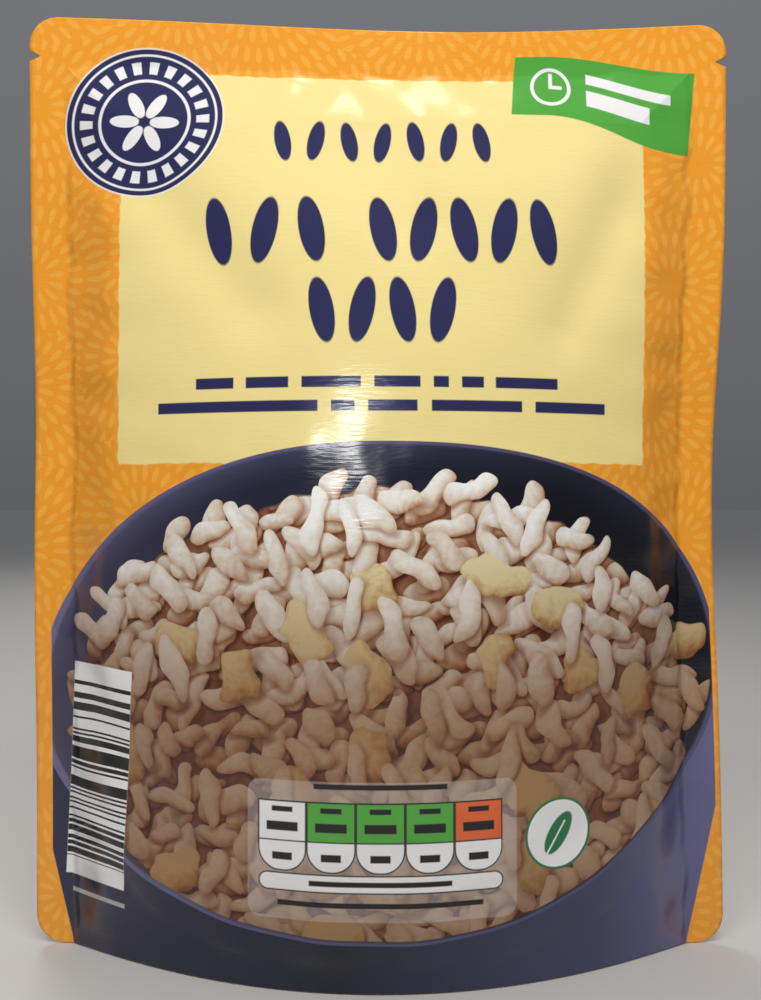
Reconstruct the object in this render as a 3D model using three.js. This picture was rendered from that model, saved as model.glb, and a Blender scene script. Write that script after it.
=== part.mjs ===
// A shut stand-up pouch of microwave rice, standing on its opened base.
// Millimetres, +Z up. X runs along the width, -Y is the printed front, and the origin is the footprint's middle.
// The laminate is welded along both sides and the top. The base is a folded gusset, welded to the front and the
// back along a curve that is low in the middle and climbs to the side welds, which leaves two thin skirts.
import * as THREE from "three";

// Driving sizes.
const WIDTH = 146.6;
const HEIGHT = 194;
const SIDE_SEAL = 7.5;
const TOP_SEAL = 10.5;
const SEAL_THICK = 0.5;
const CORNER_RADIUS = 6;
const NOTCH_DEPTH = 2.4;
const NOTCH_HALF = 1.1;
const NOTCH_BELOW_TOP = 8;
const SKIRT_HEIGHT = 5;
const GUSSET_RISE = 32;
const BASE_HALF_DEPTH = 17.5;
const BELLY_HALF_DEPTH = 21;
const BELLY_HEIGHT = 58;

// Softer shape: how the filled film hangs and creases. Twist, sag and lobes fade by one power.
const FADE_POWER = 3;
const CROSS_POWER = 1.05;
const TAPER_POWER = 1.15;
const SKIRT_CURVE_POWER = 4;
const WAIST_PULL = { left: 0.6, right: 3.2 };
const WAIST_HEIGHT = 88;
const WAIST_SPREAD = 52;
const FOOT_PULL = 0.9;
const TWIST = 1.4;
const TOP_EDGE_SAG = 1.6;
const OVERHANG = 1.3;
const OVERHANG_REACH = 11;
const GUSSET_LOBE = 6.6;
const LOBE_POWER = 0.8;

// Waves in the welds, and puckers beside them that die away over their reach.
const SIDE_WAVE = { high: 0.7, length: 15, shift: 1.1, power: 6 };
const TOP_WAVE = { high: 0.9, length: 22, shift: 0.6, power: 6 };
const SIDE_PUCKER = { high: 0.55, length: 2.6, drift: 17, reach: 8 };
const TOP_PUCKER = { high: 0.6, length: 3.4, drift: 21, wander: 1.4, reach: 13 };
const SKIRT_PUCKER = { high: 0.4, length: 2.9, reach: 8 };
const PUCKER_SHIFT = 0.9;
const FLAT_BESIDE_WELD = 3;
const FLAT_ABOVE_SKIRT = 2;
const CREASED_BULGE = 3;

// Mesh density.
const BODY_COLUMNS = 36;
const EVEN_SPACING = 0.65;
const SEAL_COLUMNS = 2;
const BODY_ROW_STEP = 4.7;
const CORNER_ROWS = 5;
const SKIRT_ROWS = 3;
const GUSSET_ROWS = 14;

const HALF_WIDTH = WIDTH / 2;
const BODY_HALF = HALF_WIDTH - SIDE_SEAL;
const BODY_TOP = HEIGHT - TOP_SEAL;
const NOTCH_HEIGHT = HEIGHT - NOTCH_BELOW_TOP;
const FRONT = -1;
const BACK = 1;

// Long shallow dents of the loose film above the rice: side, ends along the film, depth and half breadth.
const DENTS = [
  { side: FRONT, from: [-60, 172], to: [-26, 132], depth: 1.3, breadth: 7 },
  { side: FRONT, from: [61, 176], to: [38, 128], depth: 1.5, breadth: 6 },
  { side: FRONT, from: [-8, 180], to: [6, 150], depth: 0.8, breadth: 8 },
  { side: FRONT, from: [-62, 52], to: [-40, 24], depth: 1.1, breadth: 6 },
  { side: FRONT, from: [60, 60], to: [40, 30], depth: 1.0, breadth: 7 },
  { side: BACK, from: [-58, 174], to: [-14, 140], depth: 1.6, breadth: 8 },
  { side: BACK, from: [60, 170], to: [20, 124], depth: 1.4, breadth: 7 },
  { side: BACK, from: [52, 70], to: [26, 40], depth: 1.1, breadth: 8 },
];

const clamp = (value, low, high) => Math.min(high, Math.max(low, value));

// How far the film stands from the middle plane on the centre line, at a height t up the flat film.
function bellyDepth(t) {
  if (t < BELLY_HEIGHT) {
    const down = (BELLY_HEIGHT - t) / BELLY_HEIGHT;
    return BELLY_HALF_DEPTH - (BELLY_HALF_DEPTH - BASE_HALF_DEPTH) * down ** 2;
  }
  const up = clamp((t - BELLY_HEIGHT) / (BODY_TOP - BELLY_HEIGHT), 0, 1);
  return BELLY_HALF_DEPTH * (1 - up ** 2) ** TAPER_POWER;
}

// Height of the weld between the skirt and the gusset, at a distance s from the centre line.
function skirtWeld(s) {
  const share = clamp(Math.abs(s) / BODY_HALF, 0, 1);
  return SKIRT_HEIGHT + (GUSSET_RISE - SKIRT_HEIGHT) * share ** SKIRT_CURVE_POWER;
}

// Half width of the flat film at height t: round corners and the two tear notches.
function outline(t) {
  const toEnd = Math.min(t, HEIGHT - t);
  if (toEnd < CORNER_RADIUS) {
    const drop = CORNER_RADIUS - toEnd;
    return HALF_WIDTH - CORNER_RADIUS + Math.sqrt(Math.max(0, CORNER_RADIUS ** 2 - drop ** 2));
  }
  const fromNotch = Math.abs(t - NOTCH_HEIGHT);
  return HALF_WIDTH - NOTCH_DEPTH * clamp(1 - fromNotch / NOTCH_HALF, 0, 1);
}

// The filled middle draws the side welds in, as the film can't stretch, the right one more than the left.
function drawIn(s, t) {
  const toRight = (1 + clamp(s / HALF_WIDTH, -1, 1)) / 2;
  const pull = WAIST_PULL.left + (WAIST_PULL.right - WAIST_PULL.left) * toRight;
  const waist = pull * Math.exp(-(((t - WAIST_HEIGHT) / WAIST_SPREAD) ** 2));
  const foot = FOOT_PULL * clamp(1 - t / WAIST_HEIGHT, 0, 1);
  return 1 - (waist + foot) / HALF_WIDTH;
}

// The middle plane: it twists a little towards the top, and its welds wave.
function middle(s, t) {
  const up = t / HEIGHT;
  const share = s / HALF_WIDTH;
  const side = SIDE_WAVE.high * Math.sin(t / SIDE_WAVE.length + (s > 0 ? SIDE_WAVE.shift : 0));
  const top = TOP_WAVE.high * Math.sin(s / TOP_WAVE.length + TOP_WAVE.shift);
  const atSide = side * Math.abs(share) ** SIDE_WAVE.power * Math.sin(Math.PI * up);
  const atTop = top * up ** TOP_WAVE.power;
  return TWIST * share * up ** FADE_POWER + atSide + atTop;
}

function dent(side, s, t) {
  let sum = 0;
  for (const d of DENTS) {
    if (d.side !== side) continue;
    const [along, rise] = [d.to[0] - d.from[0], d.to[1] - d.from[1]];
    const length = Math.hypot(along, rise);
    const run = ((s - d.from[0]) * along + (t - d.from[1]) * rise) / length ** 2;
    const off = ((s - d.from[0]) * rise - (t - d.from[1]) * along) / length;
    const beyond = (Math.max(0, -run, run - 1) * length) / d.breadth;
    sum += d.depth * Math.exp(-((off / d.breadth) ** 2) - beyond ** 2);
  }
  return sum;
}

// Puckers that die away from each weld. Right beside a weld the film lies flat.
function puckers(side, s, t) {
  const shift = side * PUCKER_SHIFT;
  const fromSide = BODY_HALF - Math.abs(s);
  const fromTop = BODY_TOP - t;
  const fromSkirt = Math.max(0, t - skirtWeld(s));
  const alongSide = t / SIDE_PUCKER.length + Math.sin(t / SIDE_PUCKER.drift + shift) + Math.sign(s);
  const alongTop = s / TOP_PUCKER.length + TOP_PUCKER.wander * Math.sin(s / TOP_PUCKER.drift + shift);
  const atSide = SIDE_PUCKER.high * Math.sin(alongSide) * Math.exp(-fromSide / SIDE_PUCKER.reach);
  const atTop = TOP_PUCKER.high * Math.sin(alongTop) * Math.exp(-fromTop / TOP_PUCKER.reach);
  const alongSkirt = s / SKIRT_PUCKER.length + shift;
  const atSkirt = SKIRT_PUCKER.high * Math.sin(alongSkirt) * Math.exp(-fromSkirt / SKIRT_PUCKER.reach);
  const fade = (distance, reach) => 1 - Math.exp(-distance / reach);
  const clear = fade(fromSide, FLAT_BESIDE_WELD) * fade(fromTop, FLAT_BESIDE_WELD);
  return (atSide + atTop + atSkirt) * clear * fade(fromSkirt, FLAT_ABOVE_SKIRT);
}

// How far the front or the back stands out from the middle plane.
function bulge(side, s, t) {
  const share = clamp(Math.abs(s) / BODY_HALF, 0, 1);
  const lens = (1 - share ** 2) ** CROSS_POWER;
  if (share >= 1 || t >= BODY_TOP) return 0;
  const above = Math.max(0, t - skirtWeld(s)) / OVERHANG_REACH;
  const overhang = OVERHANG * above * Math.exp(1 - above) * Math.sqrt(lens);
  const room = bellyDepth(t) * lens;
  const creases = (puckers(side, s, t) - dent(side, s, t)) * clamp(room / CREASED_BULGE, 0, 1);
  return Math.max(0, room + overhang + creases);
}

// A point of the flat film, folded to its place on the standing pouch.
function place(side, s, t) {
  const share = s / HALF_WIDTH;
  const y = middle(s, t) + side * (SEAL_THICK / 2 + bulge(side, s, t));
  const sag = TOP_EDGE_SAG * Math.cos((Math.PI / 2) * clamp(share, -1, 1)) * (t / HEIGHT) ** FADE_POWER;
  return [s * drawIn(s, t), y, t - sag];
}

// The inside face of a skirt. Both skirts meet in the middle plane at the side welds.
function inside(side, s, t) {
  const [x, y, z] = place(side, s, t);
  const wall = Math.min(SEAL_THICK, Math.abs(y - middle(s, t)));
  return [x, y - side * wall, z];
}

// The gusset between the two skirt welds: w runs from -1 at the front to 1 at the back.
// The fold stays up along the middle, and a lobe on each side of it is pressed flat on the surface below.
function gusset(s, w) {
  const weld = skirtWeld(s);
  const front = inside(FRONT, s, weld);
  const back = inside(BACK, s, weld);
  const share = clamp(Math.abs(s) / BODY_HALF, 0, 1);
  const lobe = GUSSET_LOBE * (1 - share ** FADE_POWER) * Math.sin(Math.PI * Math.abs(w)) ** LOBE_POWER;
  const y = front[1] + ((back[1] - front[1]) * (w + 1)) / 2;
  return [front[0], y, Math.max(0, front[2] - lobe)];
}

// Columns across the film, closer together towards the side welds.
function columnList() {
  const body = [];
  for (let i = 0; i <= BODY_COLUMNS; i++) {
    const even = (2 * i) / BODY_COLUMNS - 1;
    body.push(BODY_HALF * (EVEN_SPACING * even + (1 - EVEN_SPACING) * Math.sin((Math.PI / 2) * even)));
  }
  return body;
}

// Rows up the film: round corners, body, top weld and notches.
function rowList() {
  const arc = [];
  for (let i = 0; i < CORNER_ROWS; i++) {
    arc.push(CORNER_RADIUS * (1 - Math.cos((Math.PI / 2) * (i / CORNER_ROWS))));
  }
  const body = [];
  const count = Math.round((BODY_TOP - CORNER_RADIUS) / BODY_ROW_STEP);
  for (let i = 0; i <= count; i++) {
    body.push(CORNER_RADIUS + ((BODY_TOP - CORNER_RADIUS) * i) / count);
  }
  const notch = [NOTCH_HEIGHT - NOTCH_HALF, NOTCH_HEIGHT, NOTCH_HEIGHT + NOTCH_HALF];
  const top = [CORNER_RADIUS, ...arc.slice().reverse()].map((x) => HEIGHT - x);
  return [...arc, ...body, ...notch, ...top];
}

// One closed surface from the front, the back, the edge of the welds, the skirts and the gusset.
function pouchGeometry() {
  const points = [];
  const faces = [];
  const add = (point) => points.push(point) - 1;
  const quad = (a, b, c, d) => faces.push([a, b, c], [a, c, d]);
  const bodyColumns = columnList();
  const rows = rowList();
  const lastRow = rows.length - 1;

  // Weld columns run from the body's side to the outline of that row.
  const across = (t) => {
    const weld = [];
    for (let i = 1; i <= SEAL_COLUMNS; i++) {
      weld.push(BODY_HALF + ((outline(t) - BODY_HALF) * i) / SEAL_COLUMNS);
    }
    return [...weld.map((s) => -s).reverse(), ...bodyColumns, ...weld];
  };
  const skin = (side) => rows.map((t) => across(t).map((s) => add(place(side, s, t))));
  const front = skin(FRONT);
  const back = skin(BACK);
  const lastColumn = front[0].length - 1;
  for (let r = 0; r < lastRow; r++) {
    for (let c = 0; c < lastColumn; c++) {
      quad(front[r][c], front[r][c + 1], front[r + 1][c + 1], front[r + 1][c]);
      quad(back[r][c], back[r + 1][c], back[r + 1][c + 1], back[r][c + 1]);
    }
    quad(front[r][0], front[r + 1][0], back[r + 1][0], back[r][0]);
    quad(front[r][lastColumn], back[r][lastColumn], back[r + 1][lastColumn], front[r + 1][lastColumn]);
  }
  for (let c = 0; c < lastColumn; c++) {
    quad(front[lastRow][c], front[lastRow][c + 1], back[lastRow][c + 1], back[lastRow][c]);
  }

  // Underside: up the inside of the front skirt, over the gusset, and down the inside of the back skirt.
  // At the two ends every pair of points, front and back, is one point of the middle plane.
  const path = (s) => {
    const weld = skirtWeld(s);
    const steps = (length, at) => Array.from({ length }, (_, i) => at(i));
    const skirt = (side) => steps(SKIRT_ROWS, (i) => inside(side, s, (weld * i) / SKIRT_ROWS));
    const base = steps(GUSSET_ROWS + 1, (i) => gusset(s, (2 * i) / GUSSET_ROWS - 1));
    return [...skirt(FRONT), ...base, ...skirt(BACK).reverse()];
  };
  const under = bodyColumns.map((s, i) => {
    const line = path(s);
    if (i > 0 && i < BODY_COLUMNS) return line.map(add);
    const shared = line.slice(0, SKIRT_ROWS + 1).map(add);
    const up = (k) => Math.min(k, line.length - 1 - k, SKIRT_ROWS);
    return line.map((_, k) => shared[up(k)]);
  });
  const steps = under[0].length - 1;
  for (let i = 0; i < BODY_COLUMNS; i++) {
    for (let k = 0; k < steps; k++) {
      quad(under[i][k], under[i][k + 1], under[i + 1][k + 1], under[i + 1][k]);
    }
    const c = i + SEAL_COLUMNS;
    quad(front[0][c], under[i][0], under[i + 1][0], front[0][c + 1]);
    quad(back[0][c], back[0][c + 1], under[i + 1][steps], under[i][steps]);
  }

  // The foot of each side weld, closed from front to back.
  for (const [end, first, step] of [[0, SEAL_COLUMNS, -1], [BODY_COLUMNS, lastColumn - SEAL_COLUMNS, 1]]) {
    const [f, b] = [front[0], back[0]];
    const cap = (p, q, r) => faces.push(step > 0 ? [p, q, r] : [p, r, q]);
    cap(f[first], under[end][0], f[first + step]);
    cap(under[end][0], b[first], b[first + step]);
    cap(under[end][0], b[first + step], f[first + step]);
    for (let c = first + step; c !== first + step * SEAL_COLUMNS; c += step) {
      cap(f[c], b[c], b[c + step]);
      cap(f[c], b[c + step], f[c + step]);
    }
  }

  const flat = faces.filter(([a, b, c]) => a !== b && b !== c && c !== a);
  const geometry = new THREE.BufferGeometry();
  geometry.setAttribute("position", new THREE.Float32BufferAttribute(points.flat(), 3));
  geometry.setIndex(flat.flat());
  geometry.computeVertexNormals();
  return geometry;
}

const film = new THREE.MeshStandardMaterial({ color: 0xf29a2e, roughness: 0.35, metalness: 0 });
const pouch = new THREE.Mesh(pouchGeometry(), film);
pouch.name = "pouch";

const pack = new THREE.Group();
pack.add(pouch);

export default pack;
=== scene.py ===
# %% [markdown]
# # A shut pouch of microwave rice
# The real thing is one bag of printed laminate: a front film, a back film and a folded gusset for a base,
# welded together round their edges and filled with rice. The CAD model holds its shape as one solid. Here
# each of the three films becomes its own thin sheet with its own printed finish, and they stand for that
# solid together.

# %% Load the fixed frame
import math

import bpy
import numpy as np
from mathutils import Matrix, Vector


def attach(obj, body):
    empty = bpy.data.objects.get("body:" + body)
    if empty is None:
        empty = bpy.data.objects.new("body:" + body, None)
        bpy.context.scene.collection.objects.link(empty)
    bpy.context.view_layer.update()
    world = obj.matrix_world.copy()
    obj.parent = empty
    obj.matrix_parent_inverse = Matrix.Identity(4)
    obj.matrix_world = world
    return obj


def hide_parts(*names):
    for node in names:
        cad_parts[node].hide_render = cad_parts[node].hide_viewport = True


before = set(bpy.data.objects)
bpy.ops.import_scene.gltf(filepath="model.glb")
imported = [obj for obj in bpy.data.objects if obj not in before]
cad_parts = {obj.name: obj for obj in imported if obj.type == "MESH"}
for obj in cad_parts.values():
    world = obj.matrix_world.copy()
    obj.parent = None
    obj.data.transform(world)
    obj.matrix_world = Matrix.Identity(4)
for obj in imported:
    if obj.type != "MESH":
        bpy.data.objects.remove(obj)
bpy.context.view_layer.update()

# %% [markdown]
# ## The flat film and its sizes
# A pouch is printed flat and folded afterwards, so every place on it has two addresses: where it lies on
# the flat film, s across from the centre line and t up from the lower edge, and where that place ends up
# in space. All sizes are millimetres, the same ones as in the CAD model, and are scaled to metres once,
# when a mesh is made.

# %% Sizes
MM = 0.001
WIDTH = 146.6
HEIGHT = 194
SIDE_SEAL = 7.5
TOP_SEAL = 10.5
SEAL_THICK = 0.5
CORNER_RADIUS = 6
NOTCH_DEPTH = 2.4
NOTCH_HALF = 1.1
NOTCH_BELOW_TOP = 8
SKIRT_HEIGHT = 5
GUSSET_RISE = 32
BASE_HALF_DEPTH = 17.5
BELLY_HALF_DEPTH = 21
BELLY_HEIGHT = 58
CROSS_POWER = 1.05
TAPER_POWER = 1.15
SKIRT_CURVE_POWER = 4
WAIST_PULL_LEFT, WAIST_PULL_RIGHT = 0.6, 3.2
WAIST_HEIGHT = 88
WAIST_SPREAD = 52
FOOT_PULL = 0.9
TWIST = 1.4
TOP_EDGE_SAG = 1.6
FADE_POWER = 3
OVERHANG = 1.3
OVERHANG_REACH = 11
GUSSET_LOBE = 6.6
LOBE_POWER = 0.8
SIDE_WAVE = dict(high=0.7, length=15, shift=1.1, power=6)
TOP_WAVE = dict(high=0.9, length=22, shift=0.6, power=6)
SIDE_PUCKER = dict(high=0.55, length=2.6, drift=17, reach=8)
TOP_PUCKER = dict(high=0.6, length=3.4, drift=21, wander=1.4, reach=13)
SKIRT_PUCKER = dict(high=0.4, length=2.9, reach=8)
PUCKER_SHIFT = 0.9
FLAT_BESIDE_WELD = 3
FLAT_ABOVE_SKIRT = 2
CREASED_BULGE = 3
FILM_THICK = 0.24
HALF_WIDTH = WIDTH / 2
BODY_HALF = HALF_WIDTH - SIDE_SEAL
BODY_TOP = HEIGHT - TOP_SEAL
NOTCH_HEIGHT = HEIGHT - NOTCH_BELOW_TOP
FRONT, BACK = -1, 1
DENTS = [
    (FRONT, (-60, 172), (-26, 132), 1.3, 7),
    (FRONT, (61, 176), (38, 128), 1.5, 6),
    (FRONT, (-8, 180), (6, 150), 0.8, 8),
    (FRONT, (-62, 52), (-40, 24), 1.1, 6),
    (FRONT, (60, 60), (40, 30), 1.0, 7),
    (BACK, (-58, 174), (-14, 140), 1.6, 8),
    (BACK, (60, 170), (20, 124), 1.4, 7),
    (BACK, (52, 70), (26, 40), 1.1, 8),
]

# %% [markdown]
# ## How the film lies in space
# These are the CAD model's own rules, written for whole arrays of points at once. The filled belly is a
# lens in every cross-section, the skirts are welded to the gusset along a curve, and puckers die away
# from each weld.


# %% The belly, the welds and the outline
def belly_depth(t):
    down = (BELLY_HEIGHT - t) / BELLY_HEIGHT
    low = BELLY_HALF_DEPTH - (BELLY_HALF_DEPTH - BASE_HALF_DEPTH) * down**2
    up = np.clip((t - BELLY_HEIGHT) / (BODY_TOP - BELLY_HEIGHT), 0, 1)
    return np.where(t < BELLY_HEIGHT, low, BELLY_HALF_DEPTH * (1 - up**2) ** TAPER_POWER)


def skirt_weld(s):
    share = np.clip(abs(s) / BODY_HALF, 0, 1)
    return SKIRT_HEIGHT + (GUSSET_RISE - SKIRT_HEIGHT) * share**SKIRT_CURVE_POWER


def outline(t):
    drop = np.clip(CORNER_RADIUS - np.minimum(t, HEIGHT - t), 0, CORNER_RADIUS)
    rounded = HALF_WIDTH - CORNER_RADIUS + np.sqrt(CORNER_RADIUS**2 - drop**2)
    notch = NOTCH_DEPTH * np.clip(1 - abs(t - NOTCH_HEIGHT) / NOTCH_HALF, 0, 1)
    return rounded - notch


def draw_in(s, t):
    to_right = (1 + np.clip(s / HALF_WIDTH, -1, 1)) / 2
    pull = WAIST_PULL_LEFT + (WAIST_PULL_RIGHT - WAIST_PULL_LEFT) * to_right
    waist = pull * np.exp(-(((t - WAIST_HEIGHT) / WAIST_SPREAD) ** 2))
    foot = FOOT_PULL * np.clip(1 - t / WAIST_HEIGHT, 0, 1)
    return 1 - (waist + foot) / HALF_WIDTH


def middle(s, t):
    up, share = t / HEIGHT, s / HALF_WIDTH
    side = SIDE_WAVE["high"] * np.sin(t / SIDE_WAVE["length"] + np.where(s > 0, SIDE_WAVE["shift"], 0))
    top = TOP_WAVE["high"] * np.sin(s / TOP_WAVE["length"] + TOP_WAVE["shift"])
    at_side = side * abs(share) ** SIDE_WAVE["power"] * np.sin(np.pi * up)
    return TWIST * share * up**FADE_POWER + at_side + top * up ** TOP_WAVE["power"]


# %% Dents, puckers and the whole bulge
def dent(side, s, t):
    total = np.zeros_like(s)
    for of_side, start, end, depth, breadth in DENTS:
        if of_side != side:
            continue
        along, rise = end[0] - start[0], end[1] - start[1]
        length = math.hypot(along, rise)
        run = ((s - start[0]) * along + (t - start[1]) * rise) / length**2
        off = ((s - start[0]) * rise - (t - start[1]) * along) / length
        beyond = np.maximum(0, np.maximum(-run, run - 1)) * length / breadth
        total += depth * np.exp(-((off / breadth) ** 2) - beyond**2)
    return total


def pucker(kind, along, distance):
    return kind["high"] * np.sin(along) * np.exp(-distance / kind["reach"])


def puckers(side, s, t):
    shift = side * PUCKER_SHIFT
    from_side, from_top = BODY_HALF - abs(s), BODY_TOP - t
    from_skirt = np.maximum(0, t - skirt_weld(s))
    along_side = t / SIDE_PUCKER["length"] + np.sin(t / SIDE_PUCKER["drift"] + shift) + np.sign(s)
    along_top = s / TOP_PUCKER["length"] + TOP_PUCKER["wander"] * np.sin(s / TOP_PUCKER["drift"] + shift)
    total = pucker(SIDE_PUCKER, along_side, from_side) + pucker(TOP_PUCKER, along_top, from_top)
    total = total + pucker(SKIRT_PUCKER, s / SKIRT_PUCKER["length"] + shift, from_skirt)
    clear = (1 - np.exp(-from_side / FLAT_BESIDE_WELD)) * (1 - np.exp(-from_top / FLAT_BESIDE_WELD))
    return total * clear * (1 - np.exp(-from_skirt / FLAT_ABOVE_SKIRT))


def bulge(side, s, t):
    share = np.clip(abs(s) / BODY_HALF, 0, 1)
    lens = (1 - share**2) ** CROSS_POWER
    above = np.maximum(0, t - skirt_weld(s)) / OVERHANG_REACH
    overhang = OVERHANG * above * np.exp(1 - above) * np.sqrt(lens)
    room = belly_depth(t) * lens
    creases = (puckers(side, s, t) - dent(side, s, t)) * np.clip(room / CREASED_BULGE, 0, 1)
    return np.where(t >= BODY_TOP, 0, np.maximum(0, room + overhang + creases))


def place(side, s, t):
    y = middle(s, t) + side * (SEAL_THICK / 2 + bulge(side, s, t))
    sag = TOP_EDGE_SAG * np.cos(np.pi / 2 * np.clip(s / HALF_WIDTH, -1, 1)) * (t / HEIGHT) ** FADE_POWER
    return np.stack([s * draw_in(s, t), y, t - sag], axis=-1)


# %% [markdown]
# ## A sheet of film
# Each film starts as a grid primitive with as many cells as the film needs. The grid's own unit square
# says which row and column a vertex belongs to, and the vertex is then moved to the place that the rules
# above give. The flat address goes into the UV map, so that the print follows the film into every crease.
# Solidify gives it a thickness.


# %% Grid, places and thickness
def grid_sheet(name, columns, rows, to_place, to_film):
    """A grid of film: to_place gives each vertex its point in mm, to_film its address on the flat film."""
    bpy.ops.object.select_all(action="DESELECT")
    bpy.ops.mesh.primitive_grid_add(x_subdivisions=columns, y_subdivisions=rows, size=1)
    sheet = bpy.context.object
    sheet.name = name
    mesh = sheet.data
    unit = np.empty(len(mesh.vertices) * 3, np.float32)
    mesh.vertices.foreach_get("co", unit)
    unit = unit.reshape(-1, 3)
    column = np.rint((unit[:, 0] + 0.5) * columns).astype(int)
    row = np.rint((unit[:, 1] + 0.5) * rows).astype(int)
    points = to_place(column, row) * MM
    mesh.vertices.foreach_set("co", points.astype(np.float32).ravel())
    film = to_film(column, row)
    corners = np.empty(len(mesh.loops), int)
    mesh.loops.foreach_get("vertex_index", corners)
    uv = np.stack([film[0] / WIDTH + 0.5, film[1] / HEIGHT], axis=-1)[corners]
    mesh.uv_layers.active.data.foreach_set("uv", uv.astype(np.float32).ravel())
    mesh.update()
    print(name, "has", len(mesh.polygons), "cells")
    return sheet


def finish_sheet(sheet, outward):
    """Shades a sheet smooth and thickens it inwards. outward is False where its grid faces inwards."""
    bpy.context.view_layer.objects.active = sheet
    sheet.select_set(True)
    if not outward:
        bpy.ops.object.mode_set(mode="EDIT")
        bpy.ops.mesh.select_all(action="SELECT")
        bpy.ops.mesh.flip_normals()
        bpy.ops.object.mode_set(mode="OBJECT")
    bpy.ops.object.shade_smooth()
    wall = sheet.modifiers.new("thickness", "SOLIDIFY")
    wall.thickness = FILM_THICK * MM
    wall.offset = -1
    bpy.ops.object.modifier_apply(modifier=wall.name)
    return sheet


# %% Columns and rows of the front and the back
BODY_CELLS = 150
SEAL_CELLS = 8
ROW_CELLS = 214
CORNER_ROWS = 6


def film_columns(t, column):
    """Distance from the centre line of a column: even cells in the body, the rest across each side weld."""
    body = (column - SEAL_CELLS) / BODY_CELLS * 2 - 1
    into_weld = np.clip((abs(body) - 1) * BODY_CELLS / 2 / SEAL_CELLS, 0, 1)
    reach = BODY_HALF + (outline(t) - BODY_HALF) * into_weld
    return np.where(abs(body) <= 1, body * BODY_HALF, np.sign(body) * reach)


def film_rows():
    """Even rows with extra ones at the round corners and at the tear notches."""
    corner = CORNER_RADIUS * (1 - np.cos(np.linspace(0, np.pi / 2, CORNER_ROWS + 1)))[:-1]
    notch = NOTCH_HEIGHT + NOTCH_HALF * np.array([-1, 0, 1])
    between = np.linspace(CORNER_RADIUS, HEIGHT - CORNER_RADIUS, ROW_CELLS - 2 * CORNER_ROWS + 2)
    nearest = [int(abs(between - n).argmin()) for n in (*notch, BODY_TOP)]
    between[nearest] = [*notch, BODY_TOP]
    return np.concatenate([corner, np.sort(between), HEIGHT - corner[::-1]])


# %% The front and the back films
def panel(name, side):
    rows = film_rows()
    columns = BODY_CELLS + 2 * SEAL_CELLS
    film = lambda column, row: (film_columns(rows[row], column), rows[row])
    sheet = grid_sheet(
        name, columns, len(rows) - 1, lambda column, row: place(side, *film(column, row)), film
    )
    return finish_sheet(sheet, outward=side == FRONT)


front_film = panel("front_film", FRONT)
back_film = panel("back_film", BACK)

# %% [markdown]
# ## The gusset
# The third film lines the inside of both skirts and spans between them, folded once along the middle. It
# is one grid too: its rows climb the front skirt, cross the base and go down the back skirt.

# %% Gusset film
GUSSET_COLUMNS = 150
SKIRT_CELLS = 6
BASE_CELLS = 44
GUSSET_ROWS = 2 * SKIRT_CELLS + BASE_CELLS


def inside(side, s, t):
    point = place(side, s, t)
    wall = np.minimum(SEAL_THICK, abs(point[..., 1] - middle(s, t)))
    return point - np.stack([0 * wall, side * wall, 0 * wall], axis=-1)


def base(s, w):
    weld = skirt_weld(s)
    front, back = inside(FRONT, s, weld), inside(BACK, s, weld)
    share = np.clip(abs(s) / BODY_HALF, 0, 1)
    lobe = GUSSET_LOBE * (1 - share**FADE_POWER) * np.clip(np.sin(np.pi * abs(w)), 0, 1) ** LOBE_POWER
    y = front[..., 1] + (back[..., 1] - front[..., 1]) * (w + 1) / 2
    return np.stack([front[..., 0], y, np.maximum(0, front[..., 2] - lobe)], axis=-1)


def gusset_place(column, row):
    s = (column / GUSSET_COLUMNS * 2 - 1) * BODY_HALF
    up_front = np.clip(row / SKIRT_CELLS, 0, 1)
    down_back = np.clip((GUSSET_ROWS - row) / SKIRT_CELLS, 0, 1)
    w = np.clip((row - SKIRT_CELLS) / BASE_CELLS, 0, 1) * 2 - 1
    front = inside(FRONT, s, skirt_weld(s) * up_front)
    back = inside(BACK, s, skirt_weld(s) * down_back)
    flat = base(s, w)
    return np.where((up_front < 1)[:, None], front, np.where((down_back < 1)[:, None], back, flat))


def gusset_film_address(column, row):
    across = (column / GUSSET_COLUMNS * 2 - 1) * BODY_HALF
    return across, row / GUSSET_ROWS * 2 * GUSSET_RISE


gusset_film = finish_sheet(
    grid_sheet("gusset_film", GUSSET_COLUMNS, GUSSET_ROWS, gusset_place, gusset_film_address),
    outward=False,
)

# %% [markdown]
# ## Sums on sockets
# A print is a drawing, and a drawing in nodes is a lot of small sums. This helper lets them be written as
# sums: each operator adds one Math node and hands back its output.


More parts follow.
